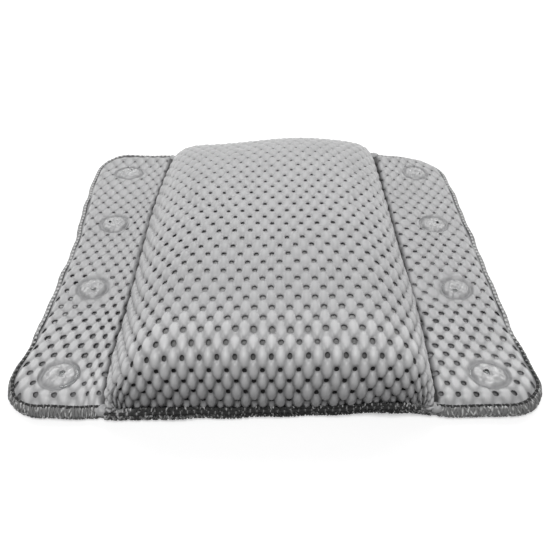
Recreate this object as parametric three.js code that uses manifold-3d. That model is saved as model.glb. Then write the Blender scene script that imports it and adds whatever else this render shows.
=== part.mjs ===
// Bath pillow: a crowned foam cushion under an open mesh cover, sewn between two side flaps.
// Each flap holds a row of suction cups by their heads, trapped between its two mesh sheets.
// Millimetres, +Z up. The origin lies on the floor under the middle of the mat, front edge at -Y.
import * as THREE from 'three';
import { mergeVertices } from 'three/addons/utils/BufferGeometryUtils.js';
import Module from 'manifold-3d';

const wasm = await Module();
wasm.setup();

// Mat in plan
const matWidth = 340;
const matDepth = 316;
const cornerRadius = 28;
const pillowWidth = 204; // from seam line to seam line

// Mesh sheets
const sheetThickness = 2.8;
const pressedThickness = 1.2; // each sheet where it is sewn flat
const clearance = 0.3;

// Sewn seams, which the flaps fold on, and the overlocked hem round the edge
const sewnHeight = 6; // middle of the pressed sheets above the floor
const seamRadius = 1.6;
const seamFlange = 1.5; // flat strip of the cover beside the seam
const hemHeight = 6;
const hemReach = 5; // from the outer edge in over the sheets
const hemWall = 1.5;
const hemRound = 0.9;
const hemSeamGap = 4; // from the fold line to the end of a hem

// Flaps
const swellWidth = 8; // from a sewn edge to the full height of the flap
const swellSteps = 3;

// Cushion
const pillowHeight = 62;
const sideBluntness = 14;
const frontBluntness = 40;
const backBluntness = 7;
const shoulderRoll = 0.38; // below 1 the crown stays full to its edges
const backRoll = 1;
const cornerDrawIn = 2.3; // how far the long sides pull in towards the corners
const frontBulge = 5; // how far the front face swells out over its hem
const bellyWidth = 24; // from a sewn edge to the flat patch that rests on the floor
const foamGap = 1.6;
const foamEdge = 1;
const foamStepsAcross = 9;
const foamStepsAlong = 10;
const coverStepsPerFoamStep = 2;

// Suction cups
const cupsPerFlap = 4;
const cupSideInset = 32; // cup centre from the side edge of the mat
const cupFrontInset = 25.5; // first cup centre from the front edge
const cupRearInset = 35.5; // last cup centre from the back edge
const cupHeight = 7; // lip to the underside of the flap
const lipRadius = 15.5;
const lipWidth = 1.9;
const lipHeight = 0.9;
const bellWall = 1.6;
const bellFullness = 0.75; // how far out the bell's curve stays high
const neckRadius = 3.6;
const headRadius = 10;
const headThickness = 1.4;
const headRound = 0.4;
const headSink = 0.9; // how deep the head presses into the lower sheet
const ringWidth = 2.6; // groove pressed round the head in the upper sheet
const ringDepth = 1;
const discRise = 0.6; // smooth disc raised over the head
const cupSides = 16;

const halfWidth = matWidth / 2;
const halfDepth = matDepth / 2;
const seamX = pillowWidth / 2;
const sheetInset = hemWall + clearance; // sheet edges from the mat's outline
const sheetSeamGap = seamRadius + clearance; // sheet edges from the fold line
const sewnAtHem = hemReach + clearance; // width of the pressed strip along the hem
const sewnAtSeam = sheetSeamGap + seamFlange;
const stackBottom = sewnHeight - clearance / 2 - pressedThickness;
const stackTop = sewnHeight + clearance / 2 + pressedThickness;

const meshGrey = new THREE.MeshStandardMaterial({ color: 0xb4b4b4, roughness: 0.55, metalness: 0 });
const threadGrey = new THREE.MeshStandardMaterial({ color: 0x4c4c4c, roughness: 0.8, metalness: 0 });
const foamGrey = new THREE.MeshStandardMaterial({ color: 0x6e6e70, roughness: 0.9, metalness: 0 });
const clearPvc = new THREE.MeshStandardMaterial({
  color: 0xdfe3e4,
  roughness: 0.15,
  metalness: 0,
  transparent: true,
  opacity: 0.5,
});

function smooth(share) {
  const t = THREE.MathUtils.clamp(share, 0, 1);
  return t * t * (3 - 2 * t);
}

// How far a point lies inside the mat's rounded outline
function outlineInset(x, y) {
  const overX = Math.abs(x) - (halfWidth - cornerRadius);
  const overY = Math.abs(y) - (halfDepth - cornerRadius);
  const outside = Math.hypot(Math.max(overX, 0), Math.max(overY, 0));
  return cornerRadius - outside - Math.min(Math.max(overX, overY), 0);
}

// How far a point lies from the nearest sewn strip, along a seam or along the hem
function freeOfSewing(x, y) {
  const fromHem = outlineInset(x, y) - sewnAtHem;
  const fromSeam = Math.abs(Math.abs(x) - seamX) - sewnAtSeam;
  return Math.min(fromHem, fromSeam);
}

function sheetThicknessAt(x, y) {
  const swell = smooth(freeOfSewing(x, y) / swellWidth);
  return THREE.MathUtils.lerp(pressedThickness, sheetThickness, swell);
}

// Half the depth of the sheets at a distance across the mat, less in the rounded corners
function sheetHalfDepth(x) {
  const intoCorner = Math.max(Math.abs(x) - (halfWidth - cornerRadius), 0);
  const radius = cornerRadius - sheetInset;
  return halfDepth - cornerRadius + Math.sqrt(Math.max(radius * radius - intoCorner * intoCorner, 0));
}

// Grid lines from one sewn edge to another, only where the sheet swells
function gridLines(low, high, lowSewn, highSewn) {
  const rise = Array.from({ length: swellSteps + 1 }, (_, k) => (swellWidth * k) / swellSteps);
  const rising = rise.map((step) => low + lowSewn + step);
  const falling = rise.map((step) => high - highSewn - step).reverse();
  return [low, ...rising, ...falling, high];
}

// A closed body between an upper and a lower grid of points, walled along the rim
function loft(upper, lower) {
  const columns = upper.length;
  const rows = upper[0].length;
  const points = [...upper.flat(), ...lower.flat()];
  const index = [];
  const top = (i, j) => i * rows + j;
  const bottom = (i, j) => columns * rows + top(i, j);
  const quad = (a, b, c, d) => index.push(a, b, c, a, c, d);
  for (let i = 0; i + 1 < columns; i++) {
    for (let j = 0; j + 1 < rows; j++) {
      quad(top(i, j), top(i + 1, j), top(i + 1, j + 1), top(i, j + 1));
      quad(bottom(i, j), bottom(i, j + 1), bottom(i + 1, j + 1), bottom(i + 1, j));
    }
    const last = rows - 1;
    quad(bottom(i, 0), bottom(i + 1, 0), top(i + 1, 0), top(i, 0));
    quad(bottom(i + 1, last), bottom(i, last), top(i, last), top(i + 1, last));
  }
  for (let j = 0; j + 1 < rows; j++) {
    const last = columns - 1;
    quad(bottom(0, j + 1), bottom(0, j), top(0, j), top(0, j + 1));
    quad(bottom(last, j), bottom(last, j + 1), top(last, j + 1), top(last, j));
  }
  const geometry = new THREE.BufferGeometry().setFromPoints(points);
  geometry.setIndex(index);
  geometry.computeVertexNormals();
  return geometry;
}

// A closed body made by carrying a profile of (inset, height) points along a path in plan.
// The profile runs anticlockwise, and the path keeps the mat on its left.
function sweep(profile, stations) {
  const points = [];
  for (const station of stations) {
    for (const { x: inset, y: height } of profile) {
      const at = station.point.clone().addScaledVector(station.inward, inset);
      points.push(new THREE.Vector3(at.x, at.y, height));
    }
  }
  const count = profile.length;
  const index = [];
  for (let k = 0; k + 1 < stations.length; k++) {
    for (let a = 0; a < count; a++) {
      const b = (a + 1) % count;
      const [nearA, nearB] = [k * count + a, k * count + b];
      const [farA, farB] = [nearA + count, nearB + count];
      index.push(nearB, farB, farA, nearB, farA, nearA);
    }
  }
  const farEnd = (stations.length - 1) * count;
  for (const [a, b, c] of THREE.ShapeUtils.triangulateShape(profile, [])) {
    index.push(c, b, a, farEnd + a, farEnd + b, farEnd + c);
  }
  const geometry = new THREE.BufferGeometry().setFromPoints(points);
  geometry.setIndex(index);
  geometry.computeVertexNormals();
  return geometry;
}

// A body of revolution about Z from (radius, height) points that start and end on the axis or close
function revolve(points) {
  return new THREE.LatheGeometry(points, cupSides).rotateX(Math.PI / 2);
}

function cylinder(radius, low, high) {
  const geometry = new THREE.CylinderGeometry(radius, radius, high - low, cupSides);
  return geometry.rotateX(Math.PI / 2).translate(0, 0, (low + high) / 2);
}

function toSolid(geometry) {
  const bare = geometry.clone();
  bare.deleteAttribute('normal');
  bare.deleteAttribute('uv');
  const merged = mergeVertices(bare);
  const vertProperties = merged.attributes.position.array;
  const triVerts = Uint32Array.from(merged.index.array);
  return new wasm.Manifold(new wasm.Mesh({ numProp: 3, vertProperties, triVerts }));
}

function toGeometry(solid) {
  const { vertProperties, triVerts } = solid.getMesh();
  const geometry = new THREE.BufferGeometry();
  geometry.setAttribute('position', new THREE.BufferAttribute(vertProperties, 3));
  geometry.setIndex(new THREE.BufferAttribute(triVerts, 1));
  geometry.computeVertexNormals();
  return geometry;
}

function named(name, geometry, material) {
  const mesh = new THREE.Mesh(geometry, material);
  mesh.name = name;
  return mesh;
}

// Cushion back: pressed flat at its edges, sagging to a flat patch on the floor
function backBottom(x, y) {
  return stackBottom * (1 - smooth(freeOfSewing(x, y) / bellyWidth));
}

function backTop(x, y) {
  return backBottom(x, y) + sheetThicknessAt(x, y);
}

function onBack(x, y) {
  return backTop(x, y) + clearance;
}

// Share of the crown's height, from 0 at the foot to 1 on top, for places from -1 to 1
function crownShare(across, along) {
  const roll = (place, bluntness, power) => (1 - Math.abs(place) ** bluntness) ** power;
  const lengthwise =
    along < 0 ? roll(along, frontBluntness, shoulderRoll) : roll(along, backBluntness, backRoll);
  return roll(across, sideBluntness, shoulderRoll) * lengthwise;
}

// Places over the crown from -1 to 1, closer together down the sides
function crownPlaces(steps) {
  return Array.from({ length: steps + 1 }, (_, k) => Math.sin(Math.PI * (k / steps - 0.5)));
}

// Rows of points on one skin of the crown, a depth below the outer one
function crownRows(stepsAcross, stepsAlong, depth, foot) {
  const point = (across, along) => {
    const share = crownShare(across, along);
    const bulge = along < 0 ? 4 * frontBulge * share * (1 - share) * along ** 8 : 0;
    const x = across * (seamX - sewnAtSeam - cornerDrawIn * along * along - depth);
    const y = along * (halfDepth - sewnAtHem - depth);
    const z = THREE.MathUtils.lerp(foot(x, y), pillowHeight - depth, share);
    return new THREE.Vector3(x, y - bulge, z);
  };
  return crownPlaces(stepsAcross).map((u) => crownPlaces(stepsAlong).map((v) => point(u, v)));
}

// The same rows with the flat strip that is sewn down added all round
function withSewnStrip(rows, height) {
  const edgeX = seamX - sheetSeamGap;
  const edgeY = halfDepth - sheetInset;
  const at = (x, y) => new THREE.Vector3(x, y, height(x, y));
  const strips = rows.map((row) => [at(row[0].x, -edgeY), ...row, at(row[0].x, edgeY)]);
  const side = (x) => strips[0].map(({ y }) => at(x, y));
  return [side(-edgeX), ...strips, side(edgeX)];
}

function laid(rows, height) {
  return rows.map((row) => row.map(({ x, y }) => new THREE.Vector3(x, y, height(x, y))));
}

// Cushion cover: a crowned shell with a flat strip round its foot, open underneath
function pillowCover() {
  const skin = (depth, foot) => {
    const across = foamStepsAcross * coverStepsPerFoamStep;
    const along = foamStepsAlong * coverStepsPerFoamStep;
    return withSewnStrip(crownRows(across, along, depth, foot), foot);
  };
  return loft(skin(0, () => stackTop), skin(sheetThickness, onBack));
}

// Foam block: fills the pocket, on some of the lines of the cover's grid
const foamDepth = sheetThickness + foamGap;
const foamFoot = (x, y) => onBack(x, y) + foamEdge;
const foamTop = crownRows(foamStepsAcross, foamStepsAlong, foamDepth, foamFoot);

function foamBlock() {
  return loft(foamTop, laid(foamTop, onBack));
}

function pillowBack() {
  const plan = withSewnStrip(foamTop, backTop);
  return loft(laid(plan, backTop), laid(plan, backBottom));
}

// Overlocked hem: a rounded channel over the edges of both sheets
function hemProfile() {
  const high = hemHeight / 2;
  const slot = clearance + clearance / 2 + pressedThickness;
  const outline = [
    [hemWall, slot],
    [hemReach, slot],
    [hemReach, high - hemRound],
    [hemReach - hemRound, high],
    [hemRound, high],
    [0, high - hemRound],
    [0, hemRound - high],
    [hemRound, -high],
    [hemReach - hemRound, -high],
    [hemReach, hemRound - high],
    [hemReach, -slot],
    [hemWall, -slot],
  ];
  return outline.map(([inset, height]) => new THREE.Vector2(inset, sewnHeight + height));
}

// Straight hem of the cushion, along the front or the back edge
function cushionHem(end) {
  const inward = new THREE.Vector2(0, -end);
  const half = seamX - hemSeamGap;
  const stations = [end * half, -end * half].map((x) => ({
    point: new THREE.Vector2(x, end * halfDepth),
    inward,
  }));
  return sweep(hemProfile(), stations);
}

// Hem of a flap: along one end, round the corners and back to the seam
function flapHem(side) {
  const cornerSteps = 8;
  const start = seamX + hemSeamGap;
  const stations = [{ point: new THREE.Vector2(start, -halfDepth), inward: new THREE.Vector2(0, 1) }];
  for (const end of [-1, 1]) {
    for (let k = 0; k <= cornerSteps; k++) {
      const angle = (Math.PI / 2) * (k / cornerSteps + (end < 0 ? -1 : 0));
      const outward = new THREE.Vector2(Math.cos(angle), Math.sin(angle));
      const centre = new THREE.Vector2(halfWidth - cornerRadius, end * (halfDepth - cornerRadius));
      stations.push({
        point: centre.addScaledVector(outward, cornerRadius),
        inward: outward.clone().negate(),
      });
    }
  }
  stations.push({ point: new THREE.Vector2(start, halfDepth), inward: new THREE.Vector2(0, -1) });
  if (side > 0) return sweep(hemProfile(), stations);
  const mirrored = stations.map(({ point, inward }) => ({
    point: new THREE.Vector2(-point.x, point.y),
    inward: new THREE.Vector2(-inward.x, inward.y),
  }));
  return sweep(hemProfile(), mirrored.reverse());
}

// Sewn seam: a round bead of stitching along the fold line
function seamBead(side) {
  const sides = 10;
  const bead = new THREE.CylinderGeometry(seamRadius, seamRadius, matDepth, sides);
  return bead.translate(side * seamX, 0, sewnHeight);
}

// Flap sheets: flat in the middle, where the cups are, and drawn down to the sewn edges
function flapBottom(x, y) {
  return THREE.MathUtils.lerp(stackBottom, cupHeight, smooth(freeOfSewing(x, y) / swellWidth));
}

function flapMiddle(x, y) {
  return flapBottom(x, y) + sheetThicknessAt(x, y);
}

function flapSheet(side, lowerHeight, upperHeight) {
  const nearX = seamX + sheetSeamGap;
  const farX = halfWidth - sheetInset;
  const sewn = sewnAtHem - sheetInset;
  const cornerStart = halfWidth - cornerRadius;
  const outward = [...gridLines(nearX, farX, seamFlange, sewn), cornerStart].sort((a, b) => a - b);
  const xs = side > 0 ? outward : outward.map((x) => -x).reverse();
  const grid = (height) =>
    xs.map((x) => {
      const edge = sheetHalfDepth(x);
      const ys = gridLines(-edge, edge, sewn, sewn);
      return ys.map((y) => new THREE.Vector3(x, y, height(x, y)));
    });
  return loft(grid(upperHeight), grid(lowerHeight));
}

// Cup heights above the floor, from the flap's flat middle
const flatMiddle = cupHeight + sheetThickness;
const flatTop = flatMiddle + clearance + sheetThickness;
const seatTop = flatMiddle - headSink;
const headBottom = seatTop + clearance;
const headTop = headBottom + headThickness;

function cupCentres(side) {
  const pitch = (matDepth - cupFrontInset - cupRearInset) / (cupsPerFlap - 1);
  return Array.from({ length: cupsPerFlap }, (_, k) => {
    const y = -halfDepth + cupFrontInset + k * pitch;
    return new THREE.Vector3(side * (halfWidth - cupSideInset), y, 0);
  });
}

// Lower flap sheet, with an eyelet and a pressed seat for each cup
function flapBack(side) {
  let sheet = toSolid(flapSheet(side, flapBottom, flapMiddle));
  for (const { x, y } of cupCentres(side)) {
    const eyelet = cylinder(neckRadius + clearance, 0, flatTop).translate(x, y, 0);
    const seat = cylinder(headRadius + clearance, seatTop, flatTop).translate(x, y, 0);
    sheet = sheet.subtract(toSolid(eyelet)).subtract(toSolid(seat));
  }
  return toGeometry(sheet);
}

// Upper flap sheet, with a smooth disc in a pressed ring over each cup's head
function flapTop(side) {
  const underside = (x, y) => flapMiddle(x, y) + clearance;
  const topside = (x, y) => underside(x, y) + sheetThicknessAt(x, y);
  let sheet = toSolid(flapSheet(side, underside, topside));
  const ringInner = headRadius + clearance;
  const ringMiddle = ringInner + ringWidth / 2;
  const ring = revolve([
    new THREE.Vector2(ringMiddle, flatTop - ringDepth),
    new THREE.Vector2(ringInner + ringWidth, flatTop + discRise),
    new THREE.Vector2(ringInner, flatTop + discRise),
    new THREE.Vector2(ringMiddle, flatTop - ringDepth),
  ]);
  const disc = revolve([
    new THREE.Vector2(0, flatTop - ringDepth),
    new THREE.Vector2(headRadius - headRound, flatTop - ringDepth),
    new THREE.Vector2(headRadius / 2, flatTop + discRise),
    new THREE.Vector2(0, flatTop + discRise),
  ]);
  const recess = cylinder(ringInner, 0, headTop + clearance);
  for (const { x, y } of cupCentres(side)) {
    sheet = sheet.subtract(toSolid(ring.clone().translate(x, y, 0)));
    sheet = sheet.add(toSolid(disc.clone().translate(x, y, 0)));
    sheet = sheet.subtract(toSolid(recess.clone().translate(x, y, 0)));
  }
  return toGeometry(sheet);
}

// Suction cup: a bell with a flat lip, a neck through the eyelet and a flat head
function suctionCup() {
  const shoulder = cupHeight - clearance;
  const hollow = shoulder - bellWall;
  const mouth = lipRadius - lipWidth;
  const curveSteps = 4;
  const inside = new THREE.Path();
  inside.moveTo(0, hollow);
  inside.quadraticCurveTo(mouth * bellFullness, hollow, mouth, 0);
  const outside = new THREE.Path();
  outside.moveTo(lipRadius, lipHeight);
  outside.quadraticCurveTo(lipRadius * bellFullness, shoulder, neckRadius + bellWall, shoulder);
  return revolve([
    ...inside.getPoints(curveSteps),
    new THREE.Vector2(lipRadius, 0),
    ...outside.getPoints(curveSteps),
    new THREE.Vector2(neckRadius, shoulder),
    new THREE.Vector2(neckRadius, headBottom),
    new THREE.Vector2(headRadius, headBottom),
    new THREE.Vector2(headRadius, headTop - headRound),
    new THREE.Vector2(headRadius - headRound, headTop),
    new THREE.Vector2(0, headTop),
  ]);
}

const cushion = new THREE.Group();
cushion.name = 'cushion';
cushion.add(named('foam_block', foamBlock(), foamGrey));
cushion.add(named('pillow_cover', pillowCover(), meshGrey));
cushion.add(named('pillow_back', pillowBack(), meshGrey));
cushion.add(named('front_hem', cushionHem(-1), threadGrey));
cushion.add(named('rear_hem', cushionHem(1), threadGrey));

const pillow = new THREE.Group();
pillow.name = 'bath_pillow';
pillow.add(cushion);

for (const [label, side] of [['left', -1], ['right', 1]]) {
  cushion.add(named(`${label}_seam`, seamBead(side), threadGrey));
  const flap = new THREE.Group();
  flap.name = `${label}_flap`;
  flap.add(named(`${label}_flap_top`, flapTop(side), meshGrey));
  flap.add(named(`${label}_flap_back`, flapBack(side), meshGrey));
  flap.add(named(`${label}_flap_hem`, flapHem(side), threadGrey));
  cupCentres(side).forEach((centre, k) => {
    const cup = named(`suction_cup_${label}_${k + 1}`, suctionCup(), clearPvc);
    cup.position.copy(centre);
    flap.add(cup);
  });
  pillow.add(flap);
}

export default pillow;
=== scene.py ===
import math

import bmesh
import bpy
import numpy
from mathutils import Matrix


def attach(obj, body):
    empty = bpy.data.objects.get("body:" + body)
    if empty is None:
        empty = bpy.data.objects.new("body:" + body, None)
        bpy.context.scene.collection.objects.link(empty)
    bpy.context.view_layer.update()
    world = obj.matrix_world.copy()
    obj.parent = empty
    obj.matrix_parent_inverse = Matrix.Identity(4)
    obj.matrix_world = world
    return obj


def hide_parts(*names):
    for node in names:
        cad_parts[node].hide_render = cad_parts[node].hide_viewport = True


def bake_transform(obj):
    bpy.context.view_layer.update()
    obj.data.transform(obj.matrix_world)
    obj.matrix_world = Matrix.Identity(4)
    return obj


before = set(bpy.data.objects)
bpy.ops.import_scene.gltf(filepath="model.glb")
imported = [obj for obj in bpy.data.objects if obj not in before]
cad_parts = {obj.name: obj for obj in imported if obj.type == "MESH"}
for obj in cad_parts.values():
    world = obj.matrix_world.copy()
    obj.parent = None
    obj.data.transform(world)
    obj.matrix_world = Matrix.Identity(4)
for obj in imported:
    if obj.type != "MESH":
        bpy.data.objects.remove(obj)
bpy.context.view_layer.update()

# Camera
# It stands in front of the pillow and above it, looking down at about forty degrees.
camera = bpy.data.objects.new("camera", bpy.data.cameras.new("camera"))
camera.location = (0.0007, -0.391, 0.314)
camera.rotation_euler = (math.radians(49.9), 0, 0)
camera.data.lens = 39.3
camera.data.sensor_width = 36
bpy.context.scene.collection.objects.link(camera)
bpy.context.scene.camera = camera


# Pillow cover
# The upper sheet of the cushion: a woven net dipped in soft foamed vinyl, so that it is all plump oval beads
# with a small hole beside each. It is stretched over the foam and sewn down at both seams and both hems.
cover_half = (0.0978, 0.1556)  # half its width and depth inside the sewn strip
cover_foot = 0.1001  # half its width at the seams
cover_sewn = 0.0068  # height of the sewn strip
cover_top = 0.0615
cover_roll = 0.0098  # radius of the front edge
cover_face = 0.046  # height of the front edge and face together
cover_strip = (0.985, 0.975)  # where the sewn strip starts, as shares of the half width and half length
cover_swell = 0.0022  # how far the foam pushes the cover out at most
cover_cell = (0.00525, 0.0083)  # half a mesh across and along
cover_hole = (0.0039, 0.0046)
cover_anchor = (0.0038, 0)  # where one of the holes is
cover_spare = 0.0048  # how far the front of the sheet is stretched to reach its hem
net_thickness = 0.002
sewn_margin = 0.0055  # edge of a sheet that the sewing presses shut
print_shut = (0.006, 0.0132)  # ring round a cup's middle where the net is pressed shut
print_fine = 0.0165  # reach of the finer mesh round a cup's middle
net_tone = 0.455


def eased(share):
    """A share kept between 0 and 1 that leaves and reaches both gently."""
    share = numpy.clip(share, 0, 1)
    return share * share * (3 - 2 * share)


def made_mesh(name, bm):
    """A mesh of what a bmesh holds, which is then done with."""
    mesh = bpy.data.meshes.new(name)
    bm.to_mesh(mesh)
    bm.free()
    return mesh


def linked(name, mesh):
    piece = bpy.data.objects.new(name, mesh)
    bpy.context.scene.collection.objects.link(piece)
    return piece


def evaluated_mesh(piece):
    """The piece's mesh with its modifiers applied, and the piece itself gone."""
    bpy.context.view_layer.update()
    whole = piece.evaluated_get(bpy.context.evaluated_depsgraph_get())
    mesh = bpy.data.meshes.new_from_object(whole)
    bpy.data.objects.remove(piece)
    return mesh


def places(mesh):
    found = numpy.zeros(len(mesh.vertices) * 3)
    mesh.vertices.foreach_get("co", found)
    return found.reshape(-1, 3)


def settle(mesh, moved):
    mesh.vertices.foreach_set("co", numpy.asarray(moved, numpy.float32).ravel())
    mesh.update()


def netting(low, high, cell, hole, anchor, drawn, sewn, level, corners=(), prints=()):
    """A flat sheet of netting from low to high: a chequerboard of cells with every second one pierced, one
    hole being at anchor. Its holes draw in towards the front and back by the two shares drawn, and its sewn
    margins are pressed shut. Its corners are cut round where corners gives (centre, radius, first angle).
    A ring round each of the prints is pressed shut too, and the netting is finer there."""
    first = [math.floor((low[k] - anchor[k]) / cell[k] - 0.5) for k in (0, 1)]
    last = [math.ceil((high[k] - anchor[k]) / cell[k] + 0.5) for k in (0, 1)]
    count = [last[k] - first[k] for k in (0, 1)]
    bm = bmesh.new()
    bmesh.ops.create_grid(bm, x_segments=count[0], y_segments=count[1], size=0.5)
    for vert in bm.verts:
        for k in (0, 1):
            vert.co[k] = anchor[k] + cell[k] * (first[k] - 0.5 + (vert.co[k] + 0.5) * count[k])
    pierced = []
    for face in bm.faces:
        middle = face.calc_center_median()
        steps = [round((middle[k] - anchor[k]) / cell[k]) for k in (0, 1)]
        margin = min(min(middle[k] - low[k], high[k] - middle[k]) for k in (0, 1))
        shut = any(print_shut[0] < math.hypot(middle.x - a, middle.y - b) < print_shut[1] for a, b in prints)
        if sum(steps) % 2 == 0 and margin > sewn and not shut:
            pierced.append(face)
    bmesh.ops.inset_individual(bm, faces=pierced, thickness=min(cell) / 5)
    for face in pierced:
        middle = face.calc_center_median()
        share = 1 - drawn[0] * min(max((-0.125 - middle.y) / 0.02, 0), 1)
        share -= drawn[1] * min(max((middle.y + 0.1) / 0.2, 0), 1)
        for vert in face.verts:
            for k in (0, 1):
                vert.co[k] = middle[k] + math.copysign(share * hole[k] / 2, vert.co[k] - middle[k])
    bmesh.ops.delete(bm, geom=pierced, context="FACES")
    cuts = [((low[0], 0), (-1, 0)), ((high[0], 0), (1, 0)), ((0, low[1]), (0, -1)), ((0, high[1]), (0, 1))]
    for centre, radius, start in corners:
        for step in range(9):
            turn = start + math.radians(5 + 10 * step)
            way = (math.cos(turn), math.sin(turn))
            cuts.append(((centre[0] + radius * way[0], centre[1] + radius * way[1]), way))
    for spot, way in cuts:
        bmesh.ops.bisect_plane(
            bm,
            geom=bm.verts[:] + bm.edges[:] + bm.faces[:],
            dist=1e-6,
            plane_co=(*spot, 0),
            plane_no=(*way, 0),
            clear_outer=True,
        )
    fine = []
    for edge in bm.edges:
        middle = (edge.verts[0].co + edge.verts[1].co) / 2
        near = any(math.hypot(middle.x - a, middle.y - b) < print_fine for a, b in prints)
        if near and not edge.is_boundary:
            fine.append(edge)
    if fine:
        bmesh.ops.subdivide_edges(bm, edges=fine, cuts=1, use_grid_fill=True)
    piece = linked("netting", made_mesh("netting", bm))
    thicken = piece.modifiers.new("thickness", "SOLIDIFY")
    thicken.thickness = net_thickness
    thicken.offset = 0
    soften = piece.modifiers.new("softness", "SUBSURF")
    soften.levels = level
    soften.render_levels = level
    return evaluated_mesh(piece)


def bead_share(flat, cell, hole, anchor):
    """How far up a bead each flat point is, from 0 between beads to 1 at the top of one."""
    spot = (flat[:, :2] - anchor) / cell
    home = numpy.floor(spot + 0.5)
    half = 1 - 0.5 * numpy.array(hole) / cell
    best = numpy.full(len(flat), 9.0)
    for step in ((0, 0), (1, 0), (-1, 0), (0, 1), (0, -1)):
        centre = home + step
        away = numpy.sum(((spot - centre) / half) ** 2, axis=1)
        best = numpy.where(centre.sum(axis=1) % 2 == 1, numpy.minimum(best, away), best)
    return numpy.sqrt(numpy.clip(1 - best, 0, 1))


def wander(flat):
    """Small sideways shifts of flat points, for netting that isn't pulled quite straight."""
    x, y = flat[:, 0], flat[:, 1]
    along = numpy.sin(71 * x + 93 * y) + numpy.sin(118 * x - 52 * y + 1)
    across = numpy.sin(97 * x - 64 * y + 2) + numpy.sin(41 * x + 128 * y)
    return 0.00045 * numpy.stack([along, across], axis=1)


def wrapped(flat, low, high, surface):
    """Flat points carried onto a surface, which is an even grid of places from low to high. The third number
    of a flat point is its height above the surface."""
    count = numpy.array(surface.shape[:2]) - 1
    wide = numpy.pad(surface, ((1, 1), (1, 1), (0, 0)), mode="reflect", reflect_type="odd")
    share = (flat[:, :2] - low) / (numpy.array(high) - low)
    spot = numpy.clip(share, 0, 1) * count
    home = numpy.minimum(spot.astype(int), count - 1)
    t = spot - home
    weight = [-t + 2 * t**2 - t**3, 2 - 5 * t**2 + 3 * t**3, t + 4 * t**2 - 3 * t**3, t**3 - t**2]
    slope = [4 * t - 1 - 3 * t**2, 9 * t**2 - 10 * t, 1 + 8 * t - 9 * t**2, 3 * t**2 - 2 * t]
    place = numpy.zeros((len(flat), 3))
    along = numpy.zeros((len(flat), 3))
    across = numpy.zeros((len(flat), 3))
    for i in range(4):
        for j in range(4):
            corner = wide[home[:, 0] + i, home[:, 1] + j] / 4
            place += corner * (weight[i][:, 0] * weight[j][:, 1])[:, None]
            along += corner * (slope[i][:, 0] * weight[j][:, 1])[:, None]
            across += corner * (weight[i][:, 0] * slope[j][:, 1])[:, None]
    normal = numpy.cross(along, across)
    normal /= numpy.linalg.norm(normal, axis=1)[:, None]
    return place + normal * flat[:, 2:3]


def swollen(points, most):
    """A sheet, given as a grid of places, as cloth that is held at its edges, pushed out from below and kept
    from sinking in by what it covers."""
    count = numpy.array(points.shape[:2]) - 1
    bm = bmesh.new()
    bmesh.ops.create_grid(bm, x_segments=count[0], y_segments=count[1], size=0.5)
    mesh = made_mesh("cloth", bm)
    spot = numpy.rint((places(mesh)[:, :2] + 0.5) * count).astype(int)
    start = points[spot[:, 0], spot[:, 1]]
    settle(mesh, start)
    piece = linked("cloth", mesh)
    edge = ((spot <= 0) | (spot >= count)).any(axis=1)
    held = piece.vertex_groups.new(name="held")
    held.add([int(k) for k in numpy.nonzero(edge)[0]], 1, "REPLACE")
    cloth = piece.modifiers.new("cloth", "CLOTH")
    cloth.settings.quality = 6
    cloth.settings.mass = 0.2
    cloth.settings.tension_stiffness = 30
    cloth.settings.compression_stiffness = 30
    cloth.settings.shear_stiffness = 10
    cloth.settings.bending_stiffness = 2
    cloth.settings.vertex_group_mass = "held"
    cloth.settings.use_pressure = True
    cloth.settings.uniform_pressure_force = 4
    cloth.settings.effector_weights.gravity = 0
    moments = 20
    cloth.point_cache.frame_end = moments
    for moment in range(1, moments + 1):
        bpy.context.scene.frame_set(moment)
    settled = evaluated_mesh(piece)
    bpy.context.scene.frame_set(1)
    moved = numpy.zeros_like(points)
    moved[spot[:, 0], spot[:, 1]] = places(settled) - start
    normal = numpy.cross(numpy.gradient(points, axis=0), numpy.gradient(points, axis=1))
    normal /= numpy.maximum(numpy.linalg.norm(normal, axis=2), 1e-12)[:, :, None]
    outward = numpy.sum(moved * normal, axis=2)
    swell = most * numpy.tanh(numpy.maximum(outward, 0) / most)
    return points + normal * swell[:, :, None]


def even_steps(line, count):
    """Shares that cut a line, a function of a share from -1 to 1, into even lengths, and its whole length."""
    shares = numpy.linspace(-1, 1, 4001)
    spots = line(shares)
    lengths = numpy.linalg.norm(numpy.diff(spots, axis=0), axis=1)
    total = numpy.concatenate([[0], numpy.cumsum(lengths)])
    return numpy.interp(numpy.linspace(0, total[-1], count + 1), total, shares), total[-1]


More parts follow.
